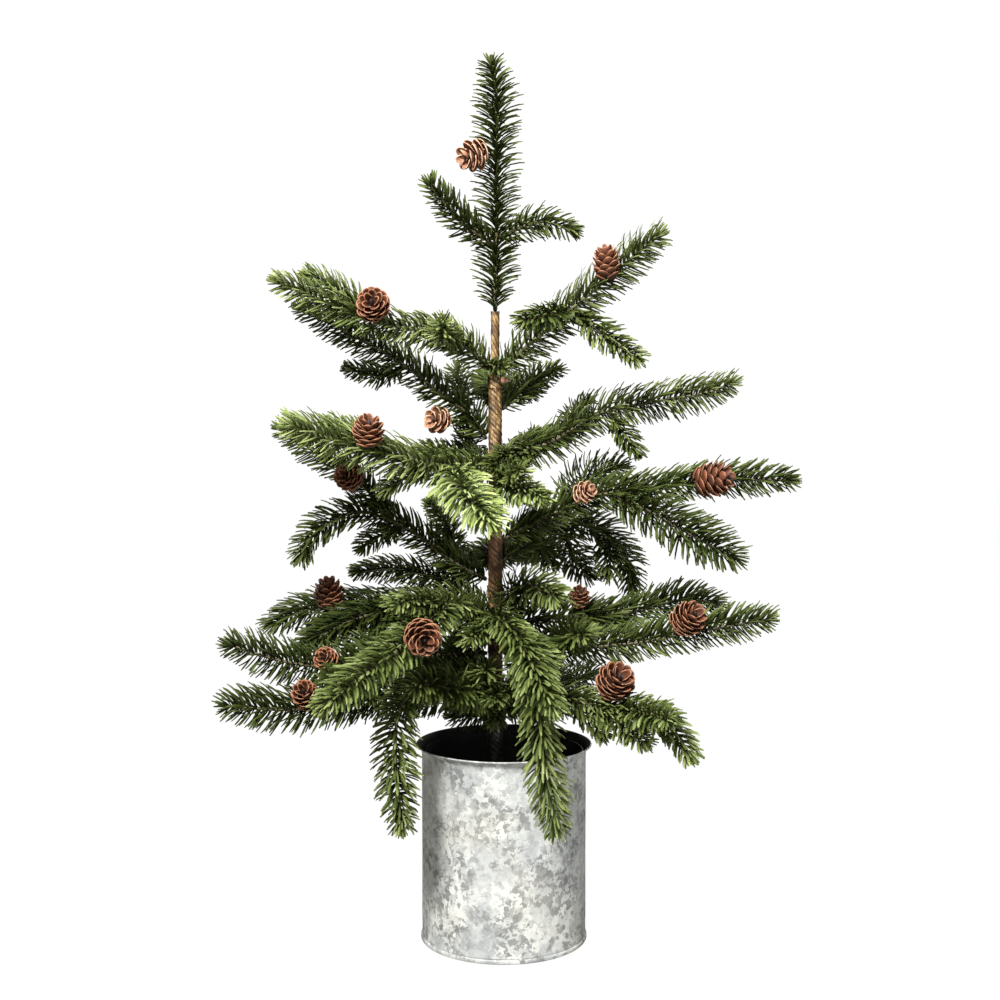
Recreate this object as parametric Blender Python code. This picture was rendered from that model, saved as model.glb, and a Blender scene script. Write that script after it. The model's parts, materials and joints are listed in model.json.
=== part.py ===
"""Artificial tabletop pine in a galvanised pot, built as separate pieces.

Run with: blender --background --python part.py
Units are metres, +Z is up and the front of the tree faces -Y.
The pot stands on z = 0 with its axis on x = y = 0.  Routes and cone places are given in millimetres.
"""

import math
from typing import NamedTuple

import bmesh
import bpy
from mathutils import Matrix, Vector
from mathutils.geometry import interpolate_bezier

MM = 0.001
GAP = 0.3 * MM  # left between pieces that touch on the real tree

# Pot: a rolled-rim sleeve on a seamed base, with a plastic liner and a cast weight inside
POT_RADIUS = 57 * MM
POT_HEIGHT = 137 * MM
POT_WALL = 1.0 * MM
RIM_RADIUS = 61 * MM  # out to the edge of the roll
RIM_ROLL = 2.1 * MM  # radius of the rolled edge
RIM_ROLL_ARC = (215, 460)  # degrees, from the outer wall round under the roll and over its top
RIM_ROLL_STEPS = 7
BEAD_RADIUS = 58 * MM
BEAD_INNER_RADIUS = 55.8 * MM
BEAD_ROUNDING = 0.9 * MM
BASE_BEAD_HEIGHT = 3.2 * MM
BASE_THICKNESS = 2.0 * MM
LINER_RADIUS = BEAD_INNER_RADIUS - GAP
LINER_BOTTOM = BASE_THICKNESS + GAP
LINER_WALL = 1.2 * MM
LINER_DROP = 5.0 * MM  # how far the liner's lip sits below the rim
WEIGHT_BOTTOM = LINER_BOTTOM + LINER_WALL + GAP
WEIGHT_TOP = 43.9 * MM

# Trunk: a steel rod carrying stretches of wound tape, with a thicker binding where each tier is tied on
TRUNK_X = -6 * MM
CORE_RADIUS = 2.0 * MM
CORE_START = 10 * MM
CORE_END = 434 * MM

# Sprays: the dense middle of each bough, round its bent wire
ROOT_RADIUS = 2.5 * MM  # the taped wire where it leaves the trunk
ROOT_CLEARANCE = 0.5 * MM
SPRAY_RADIUS = 6.0 * MM
TWIG_RADIUS = 5.0 * MM
TIP_SHARE = 0.65  # a spray's tip is this much of its full thickness
SWELL_LENGTH = 22 * MM  # distance from the root over which a branch reaches its full thickness
TAPER_LENGTH = 60 * MM  # distance over which a spray thins to its tip
TIP_SHOULDER = 0.6  # a rounded tip's last full ring stands this many radii back
TIP_END = 0.4  # and its end face has this share of the radius
RING_SPACING = 15 * MM
CURVE_STEPS = 12  # samples between two points of a route, before even spacing
TUBE_RESOLUTION = 1  # Blender's bevel resolution, which gives six sides

BALL_ANGLES = (math.radians(20), math.radians(55))  # rings of a rounded root, from its pole

# Cones
CONE_CLEARANCE = 0.8 * MM
CONE_RINGS = 5

# Lathe steps round a full turn
POT_STEPS = 48
TRUNK_STEPS = 16
CONE_STEPS = 10
MERGE_DISTANCE = 0.01 * MM


class Finish(NamedTuple):
    """Colour (linear RGB), roughness and metallic value of a material."""

    colour: tuple
    roughness: float
    metallic: float = 0.0


FINISHES = {
    "galvanised_steel": Finish((0.56, 0.58, 0.60), 0.45, 0.85),
    "black_plastic": Finish((0.012, 0.012, 0.012), 0.5),
    "cement": Finish((0.16, 0.155, 0.14), 0.95),
    "core_steel": Finish((0.25, 0.25, 0.25), 0.5, 0.9),
    "paper_tape": Finish((0.30, 0.17, 0.07), 0.85),
    "needles": Finish((0.07, 0.13, 0.04), 0.6),
    "cone_scales": Finish((0.20, 0.085, 0.04), 0.75),
}


class Sleeve(NamedTuple):
    """A tube of wound tape on the trunk: bottom, top and radius in millimetres."""

    bottom: float
    top: float
    radius: float


# From the weight's top upwards; each piece stands a gap above the one below it.
TRUNK_SLEEVES = {
    "trunk_wrap_base": Sleeve(44.2, 151.7, 5.6),
    "tier_binding_bottom": Sleeve(152.0, 160.0, 6.2),
    "trunk_wrap_low": Sleeve(160.3, 238.7, 5.2),
    "tier_binding_low": Sleeve(239.0, 246.0, 5.8),
    "trunk_wrap_mid": Sleeve(246.3, 297.7, 5.0),
    "tier_binding_mid": Sleeve(298.0, 306.0, 5.6),
    "trunk_wrap_high": Sleeve(306.3, 383.2, 4.7),
    "tier_binding_top": Sleeve(383.5, 391.5, 5.4),
    "trunk_wrap_top": Sleeve(391.8, 435.0, 3.0),
}


class Twig(NamedTuple):
    """A side spray: the share of the main route where it starts, and the points it runs through."""

    share: float
    points: tuple


class Branch(NamedTuple):
    """A wired branch: its root's height, the points of its main route, and its side twigs."""

    root_height: float
    points: tuple
    twigs: tuple = ()


LEADER = Branch(
    438,
    ((-5, 0, 485), (-5, 0, 540), (-5, 0, 580), (-10, -5, 610)),
    (
        Twig(0.24, ((-31, -10, 497), (-56, -20, 527))),
        Twig(0.27, ((25, -10, 495), (55, -15, 485))),
    ),
)

UPPER_TIER = {
    "upper_left": Branch(
        397,
        ((-25, -10, 410), (-45, -20, 420), (-80, -35, 425), (-120, -40, 440), (-155, -50, 455)),
        (
            Twig(0.16, ((-40, -40, 418), (-40, -65, 428))),
            Twig(0.52, ((-116, -34, 450), (-138, -34, 461))),
        ),
    ),
    "upper_right": Branch(
        397,
        ((20, -10, 415), (50, -15, 440), (80, -20, 465), (110, -25, 490)),
        (
            Twig(0.42, ((68, -30, 417), (94, -50, 397))),
            Twig(0.40, ((28, -40, 430), (5, -60, 425))),
        ),
    ),
    "upper_back": Branch(
        376,
        ((-5, 40, 382), (-10, 85, 388), (-20, 125, 395)),
        (Twig(0.4, ((0, 85, 385), (15, 110, 395))),),
    ),
    "upper_back_right": Branch(
        370,
        ((20, 20, 388), (45, 45, 400)),
        (Twig(0.3, ((16, 30, 380), (28, 50, 390))),),
    ),
    "upper_mid_left": Branch(
        350,
        ((-25, 5, 365), (-45, 5, 380), (-70, 0, 400), (-105, -10, 420), (-145, -15, 440)),
        (
            Twig(0.45, ((-85, 10, 392), (-117, 20, 398))),
            Twig(0.15, ((-30, 25, 378), (-35, 50, 405))),
        ),
    ),
}

MIDDLE_TIER = {
    "mid_right": Branch(
        340,
        ((30, 0, 345), (65, 5, 365), (110, 10, 375), (140, 5, 380), (165, 5, 390)),
        (
            Twig(0.12, ((0, -20, 334), (-14, -36, 328))),
            Twig(0.28, ((50, 20, 365), (65, 35, 380))),
            Twig(0.44, ((84, 0, 350), (95, -10, 333))),
        ),
    ),
    "mid_front_left": Branch(
        325,
        ((-35, -30, 330), (-60, -50, 335), (-95, -60, 344), (-119, -70, 352), (-143, -80, 361)),
        (
            Twig(0.2, ((-26, -70, 317), (-4, -110, 295))),
            Twig(0.3, ((-68, -46, 322), (-86, -46, 310))),
            Twig(0.5, ((-106, -44, 355), (-122, -28, 360))),
        ),
    ),
    "mid_back_left": Branch(
        335,
        ((-35, 30, 335), (-65, 55, 340)),
        (Twig(0.3, ((-25, 40, 350), (-28, 60, 368))),),
    ),
    "mid_front_right": Branch(
        320,
        ((10, -30, 315), (30, -60, 310)),
        (Twig(0.35, ((5, -38, 325), (15, -60, 330))),),
    ),
    "mid_back_right": Branch(
        325,
        ((10, 45, 338), (22, 85, 345), (32, 135, 349)),
        (Twig(0.4, ((45, 72, 352), (68, 95, 360))),),
    ),
}

LOW_MIDDLE_TIER = {
    "low_mid_right": Branch(
        280,
        ((30, -5, 295), (65, -10, 310), (105, -10, 315), (145, -5, 320), (205, -5, 320)),
        (
            Twig(0.2, ((60, 15, 320), (90, 30, 330))),
            Twig(0.36, ((100, -25, 299), (130, -40, 282), (160, -50, 267))),
        ),
    ),
    "low_mid_back_right": Branch(
        265,
        ((30, 20, 285), (66, 40, 284), (88, 52, 262), (97, 62, 230)),
        (
            Twig(0.18, ((28, 42, 270), (38, 60, 252))),
            Twig(0.35, ((50, 52, 262), (66, 65, 242))),
            Twig(0.58, ((76, 34, 258), (70, 32, 244))),
        ),
    ),
    "low_mid_left": Branch(
        252,
        ((-38, 0, 265), (-58, -3, 281), (-84, -8, 295), (-104, -12, 298), (-128, -15, 285), (-144, -15, 261)),
        (
            Twig(0.45, ((-100, -10, 320), (-130, -5, 340), (-160, -5, 360))),
            Twig(0.42, ((-88, 10, 280), (-106, 8, 267))),
            Twig(0.12, ((-40, 16, 285), (-58, 20, 311))),
        ),
    ),
    "low_mid_front": Branch(
        233,
        ((15, -35, 250), (40, -65, 245)),
    ),
    "low_mid_back_left": Branch(
        233,
        ((-45, 20, 248), (-80, 35, 255), (-115, 45, 250)),
        (Twig(0.2, ((-40, 45, 270), (-45, 60, 290), (-60, 70, 305))),),
    ),
    "low_mid_back": Branch(
        265,
        ((-5, 45, 265), (10, 90, 265), (28, 150, 252)),
        (Twig(0.42, ((-20, 95, 258), (-35, 130, 250))),),
    ),
}

LOWER_TIER = {
    "low_back_left": Branch(
        215,
        ((-50, 20, 230), (-95, 30, 230), (-140, 40, 225), (-175, 45, 210)),
        (
            Twig(0.22, ((-72, 8, 214), (-98, 4, 206))),
            Twig(0.33, ((-110, 5, 220), (-145, -10, 200))),
        ),
    ),
    "low_front_left": Branch(
        225,
        ((-35, -40, 240), (-55, -80, 225), (-85, -110, 205), (-115, -140, 185)),
        (Twig(0.28, ((-60, -75, 245), (-75, -95, 245))),),
    ),
    "low_left": Branch(
        200,
        ((-50, -15, 200), (-105, -30, 195), (-145, -40, 200), (-190, -45, 215)),
        (Twig(0.3, ((-72, -44, 206), (-92, -60, 212))),),
    ),
    "low_far_left": Branch(
        175,
        ((-50, -20, 175), (-95, -40, 175), (-140, -50, 170), (-190, -60, 175)),
        (Twig(0.4, ((-100, -62, 188), (-120, -78, 198))),),
    ),
    "droop_left": Branch(
        184,
        ((-45, -45, 190), (-65, -70, 180), (-70, -80, 150), (-65, -80, 90)),
    ),
    "front": Branch(
        212,
        ((-5, -40, 230), (10, -80, 220), (25, -120, 195), (35, -135, 180)),
        (
            Twig(0.22, ((-16, -56, 222), (-28, -74, 218))),
            Twig(0.3, ((22, -62, 212), (38, -76, 202))),
            Twig(0.45, ((20, -100, 185), (25, -105, 145), (35, -100, 95))),
        ),
    ),
    "low_right": Branch(
        200,
        ((40, -15, 205), (85, -25, 210), (130, -35, 220), (185, -40, 230)),
        (
            Twig(0.12, ((15, -32, 196), (18, -55, 190))),
            Twig(0.2, ((45, -45, 218), (58, -70, 224))),
        ),
    ),
    "low_back_right": Branch(
        220,
        ((40, 20, 222), (85, 35, 222), (130, 45, 231), (163, 50, 226)),
        (Twig(0.3, ((70, 60, 215), (100, 80, 205))),),
    ),
    "droop_right": Branch(
        168,
        ((40, -35, 173), (75, -60, 173), (104, -76, 167), (123, -90, 141)),
        (
            Twig(0.12, ((-3, -38, 178), (-8, -60, 176))),
            Twig(0.33, ((60, -50, 159), (70, -55, 146))),
            Twig(0.42, ((86, -76, 157), (95, -86, 148))),
            Twig(0.55, ((94, -88, 174), (106, -115, 176))),
        ),
    ),
    "low_front": Branch(
        168,
        ((-25, -40, 180), (-50, -70, 190), (-65, -90, 190)),
        (Twig(0.22, ((-12, -42, 193), (-16, -60, 199))),),
    ),
    "low_back": Branch(
        168,
        ((5, 45, 162), (20, 90, 155), (40, 160, 160)),
        (
            Twig(0.22, ((-18, 52, 156), (-42, 64, 150))),
            Twig(0.35, ((-10, 85, 152), (-25, 125, 155))),
            Twig(0.45, ((50, 105, 158), (75, 130, 165))),
        ),
    ),
    "low_back_far_left": Branch(
        190,
        ((-30, 40, 182), (-55, 80, 178), (-90, 130, 185)),
        (
            Twig(0.25, ((-48, 52, 168), (-68, 60, 162))),
            Twig(0.4, ((-35, 80, 188), (-35, 105, 198))),
        ),
    ),
}

BRANCHES = {"leader": LEADER, **UPPER_TIER, **MIDDLE_TIER, **LOW_MIDDLE_TIER, **LOWER_TIER}


class Cone(NamedTuple):
    """A pine cone: its branch, the spray it sits on (0 is the main route) and the share along it,
    the way it stands off the spray, the way its tip points, and its length and width in millimetres."""

    branch: str
    spray: int
    share: float
    stand_off: tuple
    tip: tuple
    length: float = 25
    width: float = 23


CONES = {
    "cone_leader": Cone("leader", 0, 0.60, (-0.8, -0.5, -0.1), (-0.8, -0.5, -0.3), 24, 23),
    "cone_upper_right": Cone("upper_right", 0, 0.70, (-0.5, -0.8, 0.2), (-0.1, -0.1, 1.0), 26, 19),
    "cone_upper_left": Cone("upper_left", 0, 0.55, (0.1, -0.8, 0.5), (-0.1, -0.9, 0.3), 22, 23),
    "cone_upper_mid_left": Cone("upper_mid_left", 0, 0.20, (-0.6, -0.4, -0.7), (-0.6, -0.8, 0.1), 20, 20),
    "cone_mid_front_left": Cone("mid_front_left", 0, 0.64, (0.3, -0.7, 0.6), (0.1, -0.4, 0.9), 23, 22),
    "cone_mid_right": Cone("low_mid_right", 0, 0.70, (0.0, -1.0, 0.1), (0.9, -0.4, 0.2), 29, 25),
    "cone_mid_back": Cone("low_mid_right", 0, 0.28, (0.0, -0.9, 0.4), (0.6, -0.7, 0.3), 18, 16),
    "cone_mid_left": Cone("low_mid_left", 1, 0.38, (-0.1, -1.0, 0.1), (-0.3, -0.9, 0.2), 22, 20),
    "cone_low_back_left": Cone("low_back_left", 0, 0.67, (-0.1, -0.8, 0.6), (-0.1, -0.2, 1.0), 25, 22),
    "cone_low_back_right": Cone("low_back_right", 0, 0.34, (-0.1, -0.4, 0.9), (0.1, -0.4, 0.9), 18, 16),
    "cone_low_right": Cone("low_right", 0, 0.68, (-0.2, -0.8, 0.6), (0.4, -0.6, 0.5), 26, 24),
    "cone_low_front_left": Cone("low_front_left", 0, 0.58, (0.7, -0.6, 0.4), (0.2, -1.0, -0.1), 26, 24),
    "cone_low_left": Cone("low_left", 0, 0.59, (0.0, -0.9, 0.5), (-0.2, -0.8, 0.4), 18, 17),
    "cone_low_far_left": Cone("low_far_left", 0, 0.68, (0.1, -0.8, 0.6), (-0.1, -0.8, 0.6), 26, 19),
    "cone_droop_right": Cone("droop_right", 0, 0.54, (0.1, -0.4, 0.9), (0.3, -0.7, 0.6), 27, 26),
}


def clear_scene():
    for item in list(bpy.data.objects):
        bpy.data.objects.remove(item, do_unlink=True)


def make_material(name, finish):
    material = bpy.data.materials.new(name)
    material.use_nodes = True
    shader = material.node_tree.nodes["Principled BSDF"]
    shader.inputs["Base Color"].default_value = (*finish.colour, 1.0)
    shader.inputs["Roughness"].default_value = finish.roughness
    shader.inputs["Metallic"].default_value = finish.metallic
    material.diffuse_color = (*finish.colour, 1.0)
    return material


def add_object(name, mesh, finish_name, location=(0, 0, 0)):
    item = bpy.data.objects.new(name, mesh)
    item.location = location
    bpy.context.collection.objects.link(item)
    mesh.materials.append(make_material(name, FINISHES[finish_name]))
    return item


def combine(item, other_mesh, operation):
    """Replaces an object's mesh with its union with, or its difference from, another mesh."""
    other = bpy.data.objects.new("operand", other_mesh)
    other.location = item.location
    bpy.context.collection.objects.link(other)
    boolean = item.modifiers.new("combine", "BOOLEAN")
    boolean.operation = operation
    boolean.object = other
    before = item.data
    evaluated = item.evaluated_get(bpy.context.evaluated_depsgraph_get())
    item.data = bpy.data.meshes.new_from_object(evaluated)
    item.modifiers.clear()
    bpy.data.objects.remove(other)
    bpy.data.meshes.remove(before)


# ---- Turned pieces: the pot and the trunk


def arc(centre, radius, start, end, steps):
    """Points of a lathe outline on an arc, with its angles in degrees."""
    angles = [math.radians(start + (end - start) * i / steps) for i in range(steps + 1)]
    return [(centre[0] + radius * math.cos(a), centre[1] + radius * math.sin(a)) for a in angles]


def lathe(name, outline, steps):
    """A mesh turned round Z from (radius, height) points: a closed loop, or a line with both ends on Z."""
    bm = bmesh.new()
    corners = [bm.verts.new((radius, 0, height)) for radius, height in outline]
    edges = [bm.edges.new(pair) for pair in zip(corners, corners[1:])]
    if outline[0][0] > 0:
        edges.append(bm.edges.new((corners[-1], corners[0])))
    bmesh.ops.spin(bm, geom=corners + edges, axis=(0, 0, 1), angle=math.tau, steps=steps, use_merge=True)
    bmesh.ops.remove_doubles(bm, verts=bm.verts, dist=MERGE_DISTANCE)
    bmesh.ops.recalc_face_normals(bm, faces=bm.faces)
    mesh = bpy.data.meshes.new(name)
    bm.to_mesh(mesh)
    bm.free()
    return mesh


def build_pot_shell():
    """The sleeve, whose top edge is rolled outwards."""
    bottom = BASE_BEAD_HEIGHT + GAP
    inner = POT_RADIUS - POT_WALL
    roll_centre = (RIM_RADIUS - RIM_ROLL, POT_HEIGHT - RIM_ROLL)
    outline = [
        (POT_RADIUS, bottom),
        *arc(roll_centre, RIM_ROLL, *RIM_ROLL_ARC, RIM_ROLL_STEPS),
        (inner, POT_HEIGHT - RIM_ROLL),
        (inner, bottom),
    ]
    add_object("pot_shell", lathe("pot_shell", outline, POT_STEPS), "galvanised_steel")


def build_pot_base():
    """The base disc, flat underneath, with the seam's bead standing up round its edge."""
    outline = [
        (0, 0),
        (BEAD_RADIUS - BEAD_ROUNDING, 0),
        (BEAD_RADIUS, BEAD_ROUNDING),
        (BEAD_RADIUS, BASE_BEAD_HEIGHT - BEAD_ROUNDING),
        (BEAD_RADIUS - BEAD_ROUNDING, BASE_BEAD_HEIGHT),
        (BEAD_INNER_RADIUS, BASE_BEAD_HEIGHT),
        (BEAD_INNER_RADIUS, BASE_THICKNESS),
        (0, BASE_THICKNESS),
    ]
    add_object("pot_base", lathe("pot_base", outline, POT_STEPS), "galvanised_steel")


def build_liner_cup():
    lip = POT_HEIGHT - LINER_DROP
    floor_top = LINER_BOTTOM + LINER_WALL
    outline = [
        (0, LINER_BOTTOM),
        (LINER_RADIUS, LINER_BOTTOM),
        (LINER_RADIUS, lip),
        (LINER_RADIUS - LINER_WALL, lip),
        (LINER_RADIUS - LINER_WALL, floor_top),
        (0, floor_top),
    ]
    add_object("liner_cup", lathe("liner_cup", outline, POT_STEPS), "black_plastic")


def build_base_weight():
    """The cement plug, with the socket that the trunk's rod stands in."""
    radius = LINER_RADIUS - LINER_WALL - GAP
    outline = [(0, WEIGHT_BOTTOM), (radius, WEIGHT_BOTTOM), (radius, WEIGHT_TOP), (0, WEIGHT_TOP)]
    plug = add_object("base_weight", lathe("base_weight", outline, POT_STEPS), "cement")
    socket_radius = CORE_RADIUS + GAP
    socket_bottom = CORE_START - GAP
    above = WEIGHT_TOP + GAP
    socket = [(0, socket_bottom), (socket_radius, socket_bottom), (socket_radius, above), (0, above)]
    cutter = lathe("socket", socket, TRUNK_STEPS)
    cutter.transform(Matrix.Translation((TRUNK_X, 0, 0)))
    combine(plug, cutter, "DIFFERENCE")


def build_trunk():
    """The steel rod and, threaded on it, the wound tape and the bindings."""
    rod = [(0, CORE_START), (CORE_RADIUS, CORE_START), (CORE_RADIUS, CORE_END), (0, CORE_END)]
    add_object("trunk_core", lathe("trunk_core", rod, TRUNK_STEPS), "core_steel", (TRUNK_X, 0, 0))
    bore = CORE_RADIUS + GAP
    for name, sleeve in TRUNK_SLEEVES.items():
        radius = sleeve.radius * MM
        bottom = sleeve.bottom * MM
        top = sleeve.top * MM
        outline = [(bore, bottom), (radius, bottom), (radius, top), (bore, top)]
        add_object(name, lathe(name, outline, TRUNK_STEPS), "paper_tape", (TRUNK_X, 0, 0))


# ---- Branches: tubes along smooth routes


def metres(points):
    return [Vector(point) * MM for point in points]


def hinge_point(name):
    """Where a branch's wire leaves the trunk, as far out as its rounded root needs."""
    height = BRANCHES[name].root_height * MM
    if name == "leader":
        return Vector((TRUNK_X, 0, height))
    outwards = metres(BRANCHES[name].points)[0] - Vector((TRUNK_X, 0, 0))
    outwards.z = 0
    sleeve = next(s for s in TRUNK_SLEEVES.values() if height < s.top * MM)
    reach = sleeve.radius * MM + ROOT_CLEARANCE + ROOT_RADIUS
    return Vector((TRUNK_X, 0, height)) + outwards.normalized() * reach


def smooth_route(points):
    """Evenly spaced points along a smooth curve through the given ones."""
    padded = [points[0] * 2 - points[1], *points, points[-1] * 2 - points[-2]]
    dense = [points[0]]
    for before, start, end, after in zip(padded, padded[1:], padded[2:], padded[3:]):
        start_handle = start + (end - before) / 6
        end_handle = end - (after - start) / 6
        dense += interpolate_bezier(start, start_handle, end_handle, end, CURVE_STEPS + 1)[1:]
    distances = [0.0]
    for a, b in zip(dense, dense[1:]):
        distances.append(distances[-1] + (b - a).length)
    count = max(3, round(distances[-1] / RING_SPACING))
    return [point_at(dense, distances, distances[-1] * i / count) for i in range(count + 1)]


def point_at(points, distances, distance):
    """The point at a distance along a line of points, given each point's own distance."""
    for i in range(1, len(points) - 1):
        if distances[i] >= distance:
            break
    step = (distance - distances[i - 1]) / (distances[i] - distances[i - 1])
    return points[i - 1].lerp(points[i], step)


def share_point(route, share):
    """The point at a share of an evenly spaced route."""
    position = share * (len(route) - 1)
    index = min(int(position), len(route) - 2)
    return route[index].lerp(route[index + 1], position - index)


def spray_routes(name):
    """The branch's main route from its hinge, then the route of each twig."""
    branch = BRANCHES[name]
    main = smooth_route([hinge_point(name), *metres(branch.points)])
    twigs = [smooth_route([share_point(main, twig.share), *metres(twig.points)]) for twig in branch.twigs]
    return [main, *twigs]


def radius_along(distance, length, full, root):
    """A spray's radius: it swells from its root, and thins again to its tip."""
    swell = min(1.0, distance / SWELL_LENGTH)
    taper = min(1.0, (length - distance) / TAPER_LENGTH)
    return (root + (full - root) * swell) * (TIP_SHARE + (1 - TIP_SHARE) * taper)


def rings_along(route, full, root):
    """(centre, radius) rings for a tube with a rounded root and a rounded tip."""
    spacing = (route[1] - route[0]).length
    length = spacing * (len(route) - 1)
    rings = [(point, radius_along(i * spacing, length, full, root)) for i, point in enumerate(route)]
    start_way = (route[1] - route[0]).normalized()
    root_radius = rings[0][1]
    ball = []
    for angle in BALL_ANGLES:
        ball.append((route[0] - start_way * root_radius * math.cos(angle), root_radius * math.sin(angle)))
    end_way = (route[-1] - route[-2]).normalized()
    tip_radius = rings[-1][1]
    rings[-1] = (route[-1] - end_way * tip_radius * TIP_SHOULDER, tip_radius)
    rings.append((route[-1], tip_radius * TIP_END))
    return ball + rings


def tube_mesh(rings):
    """A closed tube through (centre, radius) rings."""
    curve = bpy.data.curves.new("tube", "CURVE")
    curve.dimensions = "3D"
    curve.bevel_depth = 1.0
    curve.bevel_resolution = TUBE_RESOLUTION
    curve.use_fill_caps = True
    spline = curve.splines.new("POLY")
    spline.points.add(len(rings) - 1)
    for point, (centre, radius) in zip(spline.points, rings):
        point.co = (*centre, 1.0)
        point.radius = radius
    holder = bpy.data.objects.new("tube", curve)
    bpy.context.collection.objects.link(holder)
    evaluated = holder.evaluated_get(bpy.context.evaluated_depsgraph_get())
    mesh = bpy.data.meshes.new_from_object(evaluated)
    bpy.data.objects.remove(holder)
    bpy.data.curves.remove(curve)
    weld(mesh)
    return mesh


def weld(mesh):
    bm = bmesh.new()
    bm.from_mesh(mesh)
    bmesh.ops.remove_doubles(bm, verts=bm.verts, dist=MERGE_DISTANCE)
    bmesh.ops.recalc_face_normals(bm, faces=bm.faces)
    bm.to_mesh(mesh)
    bm.free()


def build_branch(name):
    """One wired branch, with its origin on the hinge at its root."""
    hinge = hinge_point(name)
    routes = [[point - hinge for point in route] for route in spray_routes(name)]
    main = tube_mesh(rings_along(routes[0], SPRAY_RADIUS, ROOT_RADIUS))
    branch = add_object("branch_" + name, main, "needles", hinge)
    for route in routes[1:]:
        combine(branch, tube_mesh(rings_along(route, TWIG_RADIUS, TWIG_RADIUS)), "UNION")
    weld(branch.data)
    return branch


# ---- Cones


def build_cone(name, parent):
    """An egg-shaped cone seated on its spray, carried by its branch."""
    cone = CONES[name]
    half_length = cone.length * MM / 2
    half_width = cone.width * MM / 2
    tip = Vector(cone.tip).normalized()
    stand_off = Vector(cone.stand_off).normalized()
    along = abs(tip.dot(stand_off))
    reach = math.hypot(half_length * along, half_width * math.sqrt(1 - along**2))
    seat = share_point(spray_routes(cone.branch)[cone.spray], cone.share)
    centre = seat + stand_off * (SPRAY_RADIUS + CONE_CLEARANCE + reach)
    angles = [math.pi * i / CONE_RINGS for i in range(1, CONE_RINGS)]
    sides = [(half_width * math.sin(a), -half_length * math.cos(a)) for a in angles]
    outline = [(0, -half_length), *sides, (0, half_length)]
    item = add_object(name, lathe(name, outline, CONE_STEPS), "cone_scales", centre - parent.location)
    item.rotation_euler = tip.to_track_quat("Z", "X").to_euler()
    item.parent = parent


def main():
    clear_scene()
    build_pot_base()
    build_pot_shell()
    build_liner_cup()
    build_base_weight()
    build_trunk()
    branches = {name: build_branch(name) for name in BRANCHES}
    for name, cone in CONES.items():
        build_cone(name, branches[cone.branch])


main()
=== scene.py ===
"""Looks of the artificial tabletop pine: needles, cone scales, wound tape and galvanised steel.

Route points and cone sizes are in millimetres; everything placed in the scene is in metres.
"""

import json
import math

import bmesh
import bpy
import numpy as np
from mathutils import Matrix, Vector
from mathutils.geometry import interpolate_bezier


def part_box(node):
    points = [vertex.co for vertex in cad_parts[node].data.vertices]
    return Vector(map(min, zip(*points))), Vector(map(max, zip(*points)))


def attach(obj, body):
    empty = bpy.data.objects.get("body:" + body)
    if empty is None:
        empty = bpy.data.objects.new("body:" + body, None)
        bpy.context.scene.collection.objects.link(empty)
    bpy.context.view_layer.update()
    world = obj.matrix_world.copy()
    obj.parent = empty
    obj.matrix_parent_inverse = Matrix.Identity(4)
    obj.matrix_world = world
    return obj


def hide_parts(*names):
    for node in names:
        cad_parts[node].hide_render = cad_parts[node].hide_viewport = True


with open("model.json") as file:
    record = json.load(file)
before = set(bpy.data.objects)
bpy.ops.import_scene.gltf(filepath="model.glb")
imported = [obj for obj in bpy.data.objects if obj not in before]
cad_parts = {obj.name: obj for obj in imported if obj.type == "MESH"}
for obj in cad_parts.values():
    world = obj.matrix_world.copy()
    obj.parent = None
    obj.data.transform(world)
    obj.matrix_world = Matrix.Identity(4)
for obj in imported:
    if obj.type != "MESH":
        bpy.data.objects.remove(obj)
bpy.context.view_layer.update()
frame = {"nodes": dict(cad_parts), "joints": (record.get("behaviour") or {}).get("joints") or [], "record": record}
MM = 0.001
rng = np.random.default_rng(24)

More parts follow.
